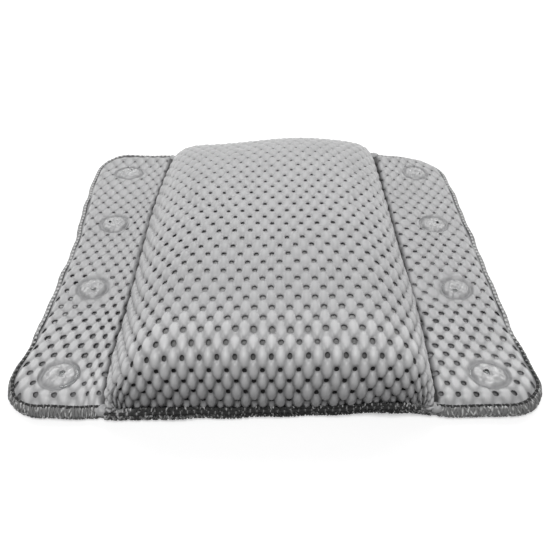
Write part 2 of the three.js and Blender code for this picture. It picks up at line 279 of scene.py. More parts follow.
def lifted(points):
    """The mat's points as it lies: its back edge and part of its front edge stand off the floor, its front
    edge isn't straight, and its seams bend a little to one side."""
    x, y, z = points.T
    back_spots = (-0.18, -0.13, -0.09, 0.102, 0.14, 0.18)
    back = numpy.interp(x, back_spots, (0.0045, 0.0045, 0.003, 0.0065, 0, -0.001))
    front = 0.0035 * numpy.exp(-(((x - 0.072) / 0.018) ** 2))
    rise = back * eased((y - 0.132) / 0.026) + front * eased((-0.135 - y) / 0.022)
    front_spots = (-0.18, -0.15, -0.1, -0.06, -0.03, 0.045, 0.06, 0.075, 0.13, 0.18)
    front_reach = (0, 0.0025, 0.003, 0.0026, 0.0006, -0.0012, -0.0014, -0.0004, 0.0015, 0)
    spread = numpy.interp(x, front_spots, front_reach) * eased((-0.14 - y) / 0.016)
    left_spots = (-0.13, -0.09, -0.06, 0.02, 0.1, 0.15)
    left = numpy.interp(y, left_spots, (-0.0056, -0.003, -0.0024, -0.0033, -0.0027, -0.002))
    right_spots = (-0.12, -0.075, -0.05, -0.01, 0.045, 0.08, 0.11, 0.15)
    right = numpy.interp(y, right_spots, (0, -0.0008, -0.0028, -0.0037, -0.0042, -0.003, -0.0014, 0))
    beside_seam = eased((0.024 - numpy.abs(numpy.abs(x) - 0.101)) / 0.02)
    below_crown = eased(numpy.where(x < 0, 1.6, 2.3) - z / 0.03)
    moved = points.copy()
    moved[:, 0] += numpy.where(x < 0, left, right) * beside_seam * below_crown
    moved[:, 1] -= spread * numpy.clip(1.4 - z / 0.012, 0, 1)
    moved[:, 2] += rise * numpy.clip(1.15 - z / 0.05, 0, 1)
    return moved


def cover_front(share):
    """How far forward and how high the cover's front half is, both as shares, from its middle to the front
    hem: flat first, then a quarter-round roll, then an upright face that bellies and tucks under."""
    turn = numpy.linspace(0, math.pi / 2, 33)
    down = numpy.linspace(0, 1, 17)[1:]
    belly = 0.0012 * numpy.sin(math.pi * down) - 0.004 * down**3
    roll_forward = cover_half[1] - cover_roll + cover_roll * numpy.sin(turn)
    roll_drop = cover_roll * (1 - numpy.cos(turn))
    forward = numpy.concatenate([[0], roll_forward, cover_half[1] + belly])
    drop = numpy.concatenate([[0], roll_drop, cover_roll + (cover_face - cover_roll) * down])
    steps = numpy.hypot(numpy.diff(forward), numpy.diff(drop))
    path = numpy.concatenate([[0], numpy.cumsum(steps)]) / steps.sum()
    height = numpy.interp(share, path, 1 - drop / cover_face)
    return numpy.interp(share, path, forward / cover_half[1]), height


def cover_place(across, along):
    """A place on the crowned cover before the foam pushes it out, from shares across and along it."""
    side = numpy.clip(across / cover_strip[0], -1, 1)
    end = numpy.clip(along / cover_strip[1], -1, 1)
    beyond_side = numpy.clip((numpy.abs(across) - cover_strip[0]) / (1 - cover_strip[0]), 0, 1)
    beyond_end = numpy.clip((numpy.abs(along) - cover_strip[1]) / (1 - cover_strip[1]), 0, 1)
    forward, front = cover_front(numpy.maximum(-end, 0))
    end = numpy.where(end < 0, -forward, end)
    slump = 0.16 * eased((0.25 - side) / 0.9) + 0.1 * eased((side - 0.25) / 0.7)
    arch = 1 - slump * eased(end / 0.85)
    rise = (1 - numpy.abs(side) ** 9) ** 0.4 * arch * numpy.where(end < 0, front, 1 - numpy.abs(end) ** 6)
    half = cover_half[0] - 0.002 * end**2
    strip = numpy.where(end < 0, 0.0008, 0.0014) * beyond_end
    stoop = 0.0085 * numpy.clip((-0.2 - end) / 0.8, 0, 1) ** 1.5
    x = side * half + numpy.sign(across) * beyond_side * (cover_foot - half)
    y = end * cover_half[1] - 0.0017 * numpy.clip(end, 0, 1) ** 2 + strip
    z = cover_sewn + (cover_top - cover_sewn - stoop) * rise
    return numpy.stack(numpy.broadcast_arrays(x, y, z), axis=-1)


cover_across, cover_width = even_steps(lambda s: cover_place(s, numpy.zeros_like(s)), 70)
cover_along, cover_length = even_steps(lambda s: cover_place(numpy.zeros_like(s), s), 130)
cover_low = numpy.array((-cover_width / 2, -cover_length / 2))
cover_high = -cover_low
cover_surface = swollen(cover_place(cover_across[:, None], cover_along[None, :]), cover_swell)
cover_mesh = netting(
    cover_low + (0, cover_spare),
    cover_high,
    cover_cell,
    cover_hole,
    cover_anchor,
    drawn=(0.25, 0.6),
    sewn=sewn_margin,
    level=2,
)

# The sheet is pulled forward, its beads are raised, most of all over the front edge, and its rows are fanned.
cover_flat = places(cover_mesh)
cover_x, cover_y = cover_flat[:, 0], cover_flat[:, 1]
cover_bead = bead_share(cover_flat, cover_cell, cover_hole, cover_anchor)
cover_inner = eased(-cover_flat[:, 2] / 0.0005)
cover_flat[:, 1] -= cover_spare * numpy.clip((cover_low[1] + 0.066 - cover_y) / 0.0612, 0, 1)
cover_edge = numpy.minimum(cover_high - cover_flat[:, :2], cover_flat[:, :2] - cover_low).min(axis=1)
cover_press = 0.4 + 0.6 * eased(cover_edge / 0.006)
cover_nose = 0.35 * eased((0.02 - cover_y) / 0.13) + 0.65 * eased((-0.13 - cover_y) / 0.03)
cover_rise = 0.75 - 0.3 * cover_nose + (0.95 + 2.6 * cover_nose) * cover_bead
cover_flat[:, 2] *= cover_rise * cover_press
cover_free = (1 - (cover_flat[:, :2] / cover_high) ** 2).prod(axis=1)
cover_fan = (0.05 + 0.02 * numpy.sign(cover_x)) * eased((0.06 - cover_y) / 0.16)
cover_flat[:, 0] += cover_x * cover_fan * (1 - (cover_x / cover_high[0]) ** 2)
cover_flat[:, 1] += 0.03 * cover_x * cover_free
cover_flat[:, :2] += wander(cover_flat) * cover_free[:, None]
settle(cover_mesh, lifted(wrapped(cover_flat, cover_low, cover_high, cover_surface)))

# Painted light and shade: its beads are painted paler over the front edge as a highlight, and darker
# between them, down its holes, at its foot and along the seams as shade.
cover_side = cover_high[0] - numpy.abs(cover_x)
# Painted shade between the beads, deeper over the front edge, with a painted highlight across them over its
# roll.
cover_lit = eased((-0.137 - cover_y) / 0.01) * (1 - eased((-0.151 - cover_y) / 0.012))
cover_pale = 0.45 - 0.15 * cover_nose + 0.3 * cover_lit
# Painted highlight and shade: bead tops may grow paler towards and over the front edge, and are held darker
# down the front face.
cover_painted_light = eased((-0.09 - cover_y) / 0.06) - 1.3 * eased((-0.151 - cover_y) / 0.028)
cover_shade = cover_pale + (1 - cover_pale) * cover_bead - 0.05 * cover_nose * (1 - cover_bead)
cover_shade = numpy.minimum(cover_shade, 0.7 + 0.3 * cover_painted_light)
# Painted shade: darker along the seams, down the hole walls, most over the front edge, and at the foot of the
# front face.
cover_shade -= 1.4 * (1 - eased((cover_side - 0.002) / 0.008))
cover_shade -= (0.1 + 0.8 * cover_nose) * cover_inner
cover_shade -= 0.4 * eased((-0.152 - cover_y) / 0.03)


def painted(mesh, name, shares):
    """Gives each of a mesh's points a share, under a name that its material reads."""
    mesh.attributes.new(name, "FLOAT", "POINT").data.foreach_set("value", numpy.float32(shares))


def wired(node, values, sources):
    """The node with values set in some of its sockets and other nodes' outputs led into others."""
    for socket, value in values.items():
        node.inputs[socket].default_value = value
    for socket, source in sources.items():
        node.id_data.links.new(source, node.inputs[socket])
    return node


def set_greys(ramp, steps):
    """Gives a colour ramp its steps, each a position, a grey and the blue that goes with it. The ramp already
    has its two ends."""
    for step in steps[1:-1]:
        ramp.elements.new(step[0])
    for element, step in zip(ramp.elements, steps):
        element.color = (step[1], step[1], step[2], 1)


def net_material(name, tone):
    """Satin foamed vinyl: painted darker down between the beads as shade and paler as highlight, faintly
    mottled, with a fine skin, and shiny where it is rubbed over something hard."""
    material = bpy.data.materials.new(name)
    material.use_nodes = True
    nodes = material.node_tree.nodes
    where = nodes.new("ShaderNodeTexCoord").outputs["Object"]
    bead = nodes.new("ShaderNodeAttribute")
    bead.attribute_name = "bead"
    level = wired(nodes.new("ShaderNodeMapRange"), {"From Min": -1}, {"Value": bead.outputs["Fac"]})
    shade = wired(nodes.new("ShaderNodeValToRGB"), {}, {"Fac": level.outputs["Result"]})
    # The ramp turns each point's painted shade into colour, from near black to half as bright again as the
    # netting.
    greys = [(0, 0.08, 0.08), (0.5, 0.6, 0.61), (0.85, 1, 1.01), (1, 1.5, 1.51)]
    set_greys(shade.color_ramp, [(position, tone * grey, tone * blue) for position, grey, blue in greys])
    mottle = wired(nodes.new("ShaderNodeTexNoise"), {"Scale": 60, "Detail": 3}, {"Vector": where})
    vary_range = {"From Min": 0.3, "From Max": 0.7, "To Min": 0.93, "To Max": 1.05}
    vary = wired(nodes.new("ShaderNodeMapRange"), vary_range, {"Value": mottle.outputs["Fac"]})
    tint = nodes.new("ShaderNodeVectorMath")
    tint.operation = "SCALE"
    wired(tint, {}, {0: shade.outputs["Color"], "Scale": vary.outputs["Result"]})
    grain = wired(nodes.new("ShaderNodeTexNoise"), {"Scale": 2200, "Detail": 2}, {"Vector": where})
    skin = {"Strength": 0.15, "Distance": 0.0003}
    bump = wired(nodes.new("ShaderNodeBump"), skin, {"Height": grain.outputs["Fac"]})
    rough_range = {"To Min": 0.3, "To Max": 0.46}
    rough = wired(nodes.new("ShaderNodeMapRange"), rough_range, {"Value": mottle.outputs["Fac"]})
    rubbed = nodes.new("ShaderNodeAttribute")
    rubbed.attribute_name = "rubbed"
    polish = nodes.new("ShaderNodeMath")
    polish.operation = "MULTIPLY_ADD"
    wired(polish, {1: -0.22}, {0: rubbed.outputs["Fac"], 2: rough.outputs["Result"]})
    look = {"Base Color": tint.outputs["Vector"], "Normal": bump.outputs["Normal"]}
    wired(nodes["Principled BSDF"], {}, {**look, "Roughness": polish.outputs["Value"]})
    return material


def dressed(name, mesh, material):
    """A smooth piece of one material."""
    mesh.shade_smooth()
    mesh.materials.clear()
    mesh.materials.append(material)
    return linked(name, mesh)


painted(cover_mesh, "bead", cover_shade)
net = net_material("net_vinyl", net_tone)
pillow_cover = dressed("pillow_cover_net", cover_mesh, net)
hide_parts("pillow_cover")
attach(pillow_cover, "cushion")


# Foam block
# The cushion's filling: one cut block of soft grey foam that fills the cover and shows through its holes.
# It lies loose inside, held only by the cover and the lower sheet.
foam_short = (0.016, 0.02)  # how much narrower and shorter it is than the cover's sheet
foam_depth = 0.0021  # under the cover's surface
foam_bottom = 0.0055
foam_greys = [(0, 0.2, 0.2), (1, 0.36, 0.36)]
bm = bmesh.new()
bmesh.ops.create_grid(bm, x_segments=54, y_segments=46, size=0.5)
foam_flat = numpy.array([vert.co for vert in bm.verts])
foam_flat *= (cover_width - foam_short[0], cover_length - foam_short[1], 1)
foam_flat[:, 2] = -foam_depth
foam_top = wrapped(foam_flat, cover_low, cover_high, cover_surface)
for vert, place in zip(bm.verts, foam_top):
    vert.co = place
lower = bmesh.ops.extrude_face_region(bm, geom=bm.faces[:])["geom"]
for vert in lower:
    if isinstance(vert, bmesh.types.BMVert):
        vert.co.z = foam_bottom
bmesh.ops.recalc_face_normals(bm, faces=bm.faces[:])
if bm.calc_volume(signed=True) < 0:  # the fold under its overhanging front can mislead the line above
    bmesh.ops.reverse_faces(bm, faces=bm.faces[:])
foam_mesh = made_mesh("foam_block_core", bm)
settle(foam_mesh, lifted(places(foam_mesh)))

# Its open cells are a fine grain, and it gets darker towards the front, where less light reaches it.
foam_look = bpy.data.materials.new("foam_grey")
foam_look.use_nodes = True
foam_nodes = foam_look.node_tree.nodes
foam_where = foam_nodes.new("ShaderNodeTexCoord").outputs["Object"]
foam_cells = wired(foam_nodes.new("ShaderNodeTexVoronoi"), {"Scale": 1400}, {"Vector": foam_where})
foam_tone = wired(foam_nodes.new("ShaderNodeValToRGB"), {}, {"Fac": foam_cells.outputs["Distance"]})
set_greys(foam_tone.color_ramp, foam_greys)
foam_spot = wired(foam_nodes.new("ShaderNodeSeparateXYZ"), {}, {"Vector": foam_where})
foam_range = {"From Min": -0.155, "From Max": -0.125, "To Min": 0.3, "To Max": 1.6}
foam_light = wired(foam_nodes.new("ShaderNodeMapRange"), foam_range, {"Value": foam_spot.outputs["Y"]})
foam_tint = foam_nodes.new("ShaderNodeVectorMath")
foam_tint.operation = "SCALE"
wired(foam_tint, {}, {0: foam_tone.outputs["Color"], "Scale": foam_light.outputs["Result"]})
foam_grain = {"Strength": 0.5, "Distance": 0.0004}
foam_bump = wired(foam_nodes.new("ShaderNodeBump"), foam_grain, {"Height": foam_cells.outputs["Distance"]})
wired(
    foam_nodes["Principled BSDF"],
    {"Roughness": 0.95},
    {"Base Color": foam_tint.outputs["Vector"], "Normal": foam_bump.outputs["Normal"]},
)
foam_block = dressed("foam_block_core", foam_mesh, foam_look)
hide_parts("foam_block")
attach(foam_block, "cushion")


# Pillow back
# The lower sheet of the cushion, of the same netting, a little bellied by the foam that lies on it.
# It is sewn to the cover at both seams and both hems.
back_high = numpy.array((0.1005, 0.1562))
back_low = -back_high
back_cell = (0.00515, 0.0082)
back_hole = (0.0026, 0.0026)
back_sewn = 0.0052  # height of its sewn edges
back_belly = (0.0036, 0.024)  # how far it sags, and over what breadth from its edges


def laid_sheet(low, high, height, count):
    """An even grid of places over a plan rectangle, at a height worked out from each place."""
    across = numpy.linspace(low[0], high[0], count[0] + 1)
    along = numpy.linspace(low[1], high[1], count[1] + 1)
    x, y = numpy.meshgrid(across, along, indexing="ij")
    return numpy.stack([x, y, height(x, y)], axis=-1)


def back_height(x, y):
    inside = numpy.minimum(back_high[0] - numpy.abs(x), back_high[1] - numpy.abs(y))
    return back_sewn - back_belly[0] * eased(inside / back_belly[1])


back_mesh = netting(
    back_low, back_high, back_cell, back_hole, (0, 0), drawn=(0, 0), sewn=sewn_margin, level=1
)
back_flat = places(back_mesh)
back_bead = bead_share(back_flat, back_cell, back_hole, (0, 0))
back_edge = numpy.minimum(back_high - back_flat[:, :2], back_flat[:, :2] - back_low).min(axis=1)
back_flat[:, 2] *= (0.5 + 0.8 * back_bead) * (0.4 + 0.6 * eased(back_edge / 0.012))
back_surface = laid_sheet(back_low, back_high, back_height, (80, 120))
settle(back_mesh, lifted(wrapped(back_flat, back_low, back_high, back_surface)))
# Painted shade: darker between the beads.
painted(back_mesh, "bead", back_bead)
pillow_back = dressed("pillow_back_net", back_mesh, net)
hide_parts("pillow_back")
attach(pillow_back, "cushion")


# Flap tops
# The upper sheet of each flap: the same netting lying over the heads of four suction cups, which press a ring
# and a disc into it. Its outer edge is overlocked into the hem and its inner edge is sewn into the seam.
flap_sides = ((-1, "left"), (1, "right"))
flap_across = (0.1006, 0.1682)  # from its sewn edge to its hemmed edge
flap_end = 0.1562  # half its length
flap_corner = (0.142, 0.130)  # centre of its rounded corner
flap_radius = 0.0262
flap_cell = (0.00515, 0.0081)
flap_hole = (0.0045, 0.0048)
flap_margin = 0.0045
flap_sewn = 0.0066  # height of its sewn edges
flap_rise = 0.0045  # how far it swells above them
cup_spots = [(0.138, y) for y in (-0.1325, -0.0475, 0.0375, 0.1225)]


def flap_plan(side):
    """The two ends of a flap sheet's rectangle, and its rounded corners as netting takes them."""
    ends = sorted((side * flap_across[0], side * flap_across[1]))
    low = numpy.array((ends[0], -flap_end))
    high = numpy.array((ends[1], flap_end))
    corners = []
    for end in (-1, 1):
        centre = (side * flap_corner[0], end * flap_corner[1])
        corners.append((centre, flap_radius, math.atan2(end, side) - math.pi / 4))
    return low, high, corners


def flap_inside(x, y):
    """How far a plan point lies inside the flap's hemmed edge."""
    out_x = numpy.abs(x) - flap_corner[0]
    out_y = numpy.abs(y) - flap_corner[1]
    in_corner = flap_radius - numpy.hypot(numpy.maximum(out_x, 0), numpy.maximum(out_y, 0))
    straight = flap_radius - numpy.maximum(out_x, out_y)
    return numpy.where((out_x > 0) & (out_y > 0), in_corner, straight)


def crease_line(y):
    """How far out the sewn crease shows: the cushion's sides overhang it most at mid-length."""
    return 0.1012 + 0.0043 * numpy.clip(1 - (y / 0.145) ** 2, 0, 1)


def flap_swell(x, y):
    """How far a flap's sheets have swelled, from 0 at a sewn edge to 1 in the middle."""
    return eased(flap_inside(x, y) / 0.008) * eased((numpy.abs(x) - crease_line(y) + 0.002) / 0.007)


def cup_distance(x, y):
    return numpy.min([numpy.hypot(numpy.abs(x) - a, y - b) for a, b in cup_spots], axis=0)


def cup_disc(distance):
    """The flat of a cup's head, from 0 outside it to 1 inside."""
    return eased((0.0105 - distance) / 0.003)


def cup_ring(distance):
    """The pressed ring round a cup's head, from 0 outside it to 1 along its middle."""
    return eased(1 - numpy.abs(distance - 0.0110) / 0.0025)


def cup_boss(distance):
    """The raised middle of a cup's head, from 0 beside it to 1 along its top."""
    return eased(1 - numpy.abs(distance - 0.0042) / 0.0032)


def draped(points, side):
    """A flap's points as it lies: its outer edge is drawn in at the waist and flares towards both ends."""
    y = points[:, 1]
    if side < 0:
        spots = (-0.16, -0.147, -0.122, -0.1, 0, 0.02, 0.056, 0.1, 0.16)
        flare = numpy.interp(y, spots, (0.002, 0.006, 0.0034, 0, -0.0006, 0, 0.0036, 0.007, 0.0073))
    else:
        spots = (-0.16, -0.147, -0.11, -0.08, 0, 0.1, 0.125, 0.16)
        flare = numpy.interp(y, spots, (0.012, 0.0062, 0.0032, 0.0008, 0.0012, 0.0006, -0.001, -0.008))
    moved = points.copy()
    moved[:, 0] += side * flare * eased((numpy.abs(points[:, 0]) - 0.106) / 0.06)
    return lifted(moved)


def flap_top_height(x, y):
    ripple = 0.0005 * numpy.sin(61 * x + 43 * y) + 0.0004 * numpy.sin(87 * y - 29 * x)
    return flap_sewn + (flap_rise + ripple) * flap_swell(x, y)


for side, mark in flap_sides:
    low, high, corners = flap_plan(side)
    anchor = (side * 0.1365, -0.002)
    mesh = netting(
        low,
        high,
        flap_cell,
        flap_hole,
        anchor,
        drawn=(0.25, 0.6),
        sewn=flap_margin,
        level=2,
        corners=corners,
        prints=[(side * a, b) for a, b in cup_spots],
    )
    flat = places(mesh)
    x, y = flat[:, 0], flat[:, 1]
    bead = bead_share(flat, flap_cell, flap_hole, anchor)
    near_cup = cup_distance(x, y)
    pressed = eased((0.0138 - near_cup) / 0.0022)
    free = flap_swell(x, y)
    flat[:, 2] *= (0.6 + 0.65 * bead) * (0.2 + 0.8 * free) * (1 - 0.35 * pressed)
    flat[:, :2] += wander(flat) * ((1 - pressed) * free)[:, None]
    moved = wrapped(flat, low, high, laid_sheet(low, high, flap_top_height, (40, 160)))
    disc, ring, boss = cup_disc(near_cup), cup_ring(near_cup), cup_boss(near_cup)
    crinkle = numpy.sin(1100 * moved[:, 0] + 400 * moved[:, 1])
    crinkle *= numpy.sin(950 * moved[:, 1] - 350 * moved[:, 0])
    moved[:, 2] += 0.0011 * disc - 0.0013 * ring + 0.0006 * boss + 0.0006 * disc * crinkle
    settle(mesh, draped(moved, side))

    # Painted light and shade: it is painted darker in the crease, in the rings and down its holes as shade,
    # and paler towards the front and over the cups' heads as highlight. It is less rough where rubbed over
    # the heads.
    # Painted shade along the crease beside the cushion.
    crease_ends = eased((y - 0.04) / 0.03) + 1.6 * eased((-0.03 - y) / 0.04) * eased((0.158 + y) / 0.04)
    crease_foot = crease_line(y) + (0.001 if side > 0 else 0.0012 * crease_ends)
    crease = eased((numpy.abs(x) - crease_foot) / (0.005 if side > 0 else 0.0035))
    inner = eased(-flat[:, 2] / 0.0004)
    # Painted shade in the rings round the cups, uneven round each.
    ring *= 0.75 + 0.35 * numpy.sin(700 * x + 330 * y) * numpy.sin(640 * y)
    # Painted highlight: paler towards the front, and bright glints over the cups' raised middles.
    palest = 0.7 + 0.2 * eased((-0.05 - y) / 0.08)
    shade = numpy.clip(0.3 + 0.7 * bead, 0.6 * pressed, palest) * (1 - ring) - 0.7 * ring
    shade = numpy.maximum(shade, boss * (0.75 + 0.35 * crinkle))
    # Painted shade in the crease and down the holes, most towards the front.
    shade -= 1.6 * (1 - crease) + (0.05 + 0.75 * eased((-0.02 - y) / 0.1)) * inner
    painted(mesh, "bead", shade)
    painted(mesh, "rubbed", disc)
    flap_top = dressed(mark + "_flap_top_net", mesh, net)
    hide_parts(mark + "_flap_top")
    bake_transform(flap_top)


# Flap backs
# The lower sheet of each flap, of the same netting. Each cup's neck is pushed through one of its holes.
# It is sewn and hemmed together with the upper sheet.
flap_back_cell = (0.00515, 0.0085)
flap_back_hole = (0.0026, 0.0026)
flap_back_sewn = 0.0053  # height of its sewn edges
flap_back_rise = 0.003
eyelet_radius = 0.0038
eyelet_reach = 0.011  # how far from its middle the netting is pushed aside


def cup_seat(x, y):
    """The patch of the lower sheet that a cup is pulled against, from 0 outside it to 1 inside."""
    return eased((0.0125 - cup_distance(x, y)) / 0.002)


def flap_back_height(x, y):
    return flap_back_sewn + flap_back_rise * flap_swell(x, y) - 0.0002 * cup_seat(x, y)


for side, mark in flap_sides:
    low, high, corners = flap_plan(side)
    anchor = (side * 0.138, 0.0375)
    mesh = netting(
        low,
        high,
        flap_back_cell,
        flap_back_hole,
        anchor,
        drawn=(0, 0),
        sewn=sewn_margin,
        level=1,
        corners=corners,
    )
    flat = places(mesh)
    x, y = flat[:, 0], flat[:, 1]
    bead = bead_share(flat, flap_back_cell, flap_back_hole, anchor)
    flat[:, 2] *= (0.5 + 0.8 * bead) * (0.4 + 0.6 * flap_swell(x, y)) * (1 - 0.4 * cup_seat(x, y))
    inner = eased(flat[:, 2] / 0.0004)
    for a, b in cup_spots:
        away = flat[:, :2] - (side * a, b)
        reach = numpy.maximum(numpy.linalg.norm(away, axis=1), 1e-6)
        opened = eyelet_radius + reach * (1 - eyelet_radius / eyelet_reach)
        flat[:, :2] += away * (numpy.where(reach < eyelet_reach, opened, reach) / reach - 1)[:, None]
    surface = laid_sheet(low, high, flap_back_height, (40, 160))
    settle(mesh, draped(wrapped(flat, low, high, surface), side))
    # Painted shade: the inner face, seen through the holes above, is darker towards the front, and the sheet
    # is darker between its beads.
    dimmed = 0.35 * eased((-0.02 - y) / 0.1) + 0.45 * eased((-0.125 - y) / 0.02)
    painted(mesh, "bead", numpy.minimum(bead, 0.7) - dimmed * inner)
    flap_back = dressed(mark + "_flap_back_net", mesh, net)
    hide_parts(mark + "_flap_back")
    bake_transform(flap_back)


# Hems
# The overlocked edge of the mat: dark thread looped over the cut edges of both sheets, with pale flecks of
# cut netting between the loops. One stretch each for the cushion's front and back, and one round each flap.
mat_half = (0.170, 0.158)
mat_radius = 0.028
seam_line = 0.102
hem_step = 0.0025  # length of one facet along a hem
hem_bends = [
    (-4.4, 3.4),
    (-2.6, 2.1),
    (-1.0, 1.8),
    (-0.2, 2.4),
    (0, 3.5),
    (-0.5, 5.0),
    (-1.2, 6.4),
    (-2.2, 7.9),
    (-3.0, 8.3),
    (-3.6, 7.9),
]  # its section in millimetres: out from the mat's edge, and height
front_taller = 0.22  # how much taller the front hem stands, as a share
band_thickness = 0.0008
chain_radius = 0.0009
loop_radius = 0.00048
thread_greys = [(0, 0.03, 0.03), (0.7, 0.06, 0.06), (0.85, 0.32, 0.32), (1, 0.7, 0.7)]


def even_run(points, step):
    """Places along a line at even steps, as near to the given step as fits, and the line's length."""
    points = numpy.array(points, float)
    lengths = numpy.linalg.norm(numpy.diff(points, axis=0), axis=1)
    total = numpy.concatenate([[0], numpy.cumsum(lengths)])
    at = numpy.linspace(0, total[-1], max(2, round(total[-1] / step)) + 1)
    run = [numpy.interp(at, total, points[:, k]) for k in range(points.shape[1])]
    return numpy.stack(run, axis=1), total[-1]


def flap_edge(side):
    """The outline of a flap in plan, anticlockwise seen from above, from seam to seam."""
    centre = [half - mat_radius for half in mat_half]
    line = [(seam_line, -mat_half[1])]
    for degrees in range(-90, 1, 5):
        turn = math.radians(degrees)
        line.append((centre[0] + mat_radius * math.cos(turn), -centre[1] + mat_radius * math.sin(turn)))
    line += [(x, -y) for x, y in reversed(line)]
    return line if side > 0 else [(-x, -y) for x, y in line]


def hem_surface(line, taller):
    """The outer face of a hem along a line in plan, with its length and its breadth round the edge. Away from
    its ends the hem stands taller by a share."""
    spots, length = even_run(line, hem_step)
    bends, breadth = even_run(numpy.array(hem_bends) / 1000, 0.0006)
    way = numpy.gradient(spots, axis=0)
    way /= numpy.linalg.norm(way, axis=1)[:, None]
    out = numpy.stack([way[:, 1], -way[:, 0]], axis=1)
    run = numpy.linspace(0, length, len(spots))
    sway = 0.0004 * numpy.sin(run * 190) + 0.0003 * numpy.sin(run * 83 + 1)
    lift = 0.0004 * numpy.sin(run * 127 + 2) + 0.0003 * numpy.sin(run * 51)
    grown = taller * eased(numpy.minimum(run, length - run) / 0.03)[:, None, None]
    reach = bends[None, :, :1] * (1 - 2 * grown) + 0.005 * grown
    plan = spots[:, None, :] + out[:, None, :] * (reach + sway[:, None, None])
    height = bends[None, :, 1:] * (1 + grown) + lift[:, None, None]
    return numpy.concatenate([plan, height], axis=2), length, breadth


def hem_band(length, breadth):
    """A flat strip of pressed netting and thread."""
    bm = bmesh.new()
    bmesh.ops.create_grid(bm, x_segments=round(length / hem_step), y_segments=14, size=0.5)
    for vert in bm.verts:
        vert.co = ((vert.co.x + 0.5) * length, (vert.co.y + 0.5) * breadth, 0)
    piece = linked("band", made_mesh("band", bm))
    thicken = piece.modifiers.new("thickness", "SOLIDIFY")
    thicken.thickness = band_thickness
    thicken.offset = -1
    return evaluated_mesh(piece)


def round_bar(length, radius, sides, cuts):
    """A bmesh of a round bar along Z, cut across so that it can be bent."""
    bm = bmesh.new()
    bmesh.ops.create_cone(bm, cap_ends=True, segments=sides, radius1=radius, radius2=radius, depth=length)
    long_edges = [edge for edge in bm.edges if edge.calc_length() > length / 2]
    bmesh.ops.subdivide_edges(bm, edges=long_edges, cuts=cuts)
    return bm


def hem_chain(length, spot):
    """A flat cord along a strip, at a spot across it and above it, swelling at each stitch."""
    bm = round_bar(length, chain_radius, 8, round(length / 0.0007))
    for vert in bm.verts:
        along = vert.co.z + length / 2
        swell = 1 + 0.2 * math.sin(along * math.tau / 0.0021)
        vert.co = (along, spot[0] + vert.co.x * swell, spot[1] + vert.co.y * swell)
    return made_mesh("chain", bm)


def hem_loops(length, breadth, pitch, slant, seed):
    """Flat loops of thread side by side across a strip, no two alike, and a tone for each point."""
    bm = round_bar(breadth * 0.98, loop_radius, 6, 9)
    for vert in bm.verts:
        along = vert.co.z
        vert.co = (vert.co.x + slant * along / breadth, along + breadth / 2, vert.co.y + 0.00035)
    bmesh.ops.reverse_faces(bm, faces=bm.faces[:])  # laying the bar down mirrors it
    each = len(bm.verts)
    piece = linked("loops", made_mesh("loops", bm))
    count = int((length - pitch) / pitch)
    repeat = piece.modifiers.new("repeat", "ARRAY")
    repeat.count = count
    repeat.use_relative_offset = False
    repeat.use_constant_offset = True
    repeat.constant_offset_displace = (pitch, 0, 0)
    mesh = evaluated_mesh(piece)
    flat = places(mesh)
    chance = numpy.random.default_rng(seed)
    which = numpy.arange(len(flat)) // each
    flat[:, 0] += pitch + (chance.random(count)[which] - 0.5) * 0.5 * pitch
    flat[:, 0] += (chance.random(count)[which] - 0.5) * 0.5 * (flat[:, 1] - breadth / 2)
    flat[:, 2] += 0.0003 * chance.random(count)[which]
    patch = numpy.clip((flat[:, 1] / breadth * 7).astype(int), 0, 6)
    tone = chance.random((count, 7))[which, patch]
    settle(mesh, flat)
    return mesh, tone


def hem_tone(tone, moved, side, kind):
    """A hem's tones once it is in place: pale behind, flecked along the flaps in front, and mostly dark along
    the cushion's front, partly as painted shade, but paler towards its ends and painted paler low down on the
    left."""
    x, y, z = moved.T
    in_front = eased((-0.09 - y) / 0.05)
    behind = 0.07
    if side and kind != "chain":
        flecked = 0.82 + 0.18 * eased((tone - 0.68) / 0.12)
        return tone**behind * (1 - in_front) + flecked * in_front
    # Painted shade: the thread along the cushion's front is dark partly as shade under it, and the chain
    # along every front darkest, as a painted shadow line under the netting's edge.
    dark = numpy.full(len(moved), 1.2 if kind == "chain" else 0.9)
    if not side:
        dark -= 0.9 * eased((numpy.abs(x) - 0.07) / 0.03)
        # Painted light: the front hem's lower part is paler, most on the left, as light thrown up from the
        # floor.
        lower = eased((0.0072 - z) / 0.002) * (1 - 0.6 * eased((x + 0.05) / 0.06))
        dark += (0.25 - dark) * lower
    return tone ** (behind + (dark - behind) * in_front)


def thread_material(name):
    """Dull spun thread, mostly charcoal with some pale flecks, and fine fibres across it."""
    material = bpy.data.materials.new(name)
    material.use_nodes = True
    nodes = material.node_tree.nodes
    fleck = nodes.new("ShaderNodeAttribute")
    fleck.attribute_name = "tone"
    shade = wired(nodes.new("ShaderNodeValToRGB"), {}, {"Fac": fleck.outputs["Fac"]})
    set_greys(shade.color_ramp, thread_greys)
    where = nodes.new("ShaderNodeTexCoord").outputs["Object"]
    fibre = wired(nodes.new("ShaderNodeTexNoise"), {"Scale": 3000}, {"Vector": where})
    fuzz = {"Strength": 0.6, "Distance": 0.0002}
    bump = wired(nodes.new("ShaderNodeBump"), fuzz, {"Height": fibre.outputs["Fac"]})
    look = {"Base Color": shade.outputs["Color"], "Normal": bump.outputs["Normal"]}
    wired(nodes["Principled BSDF"], {"Roughness": 0.75, "Specular IOR Level": 0.15}, look)
    return material


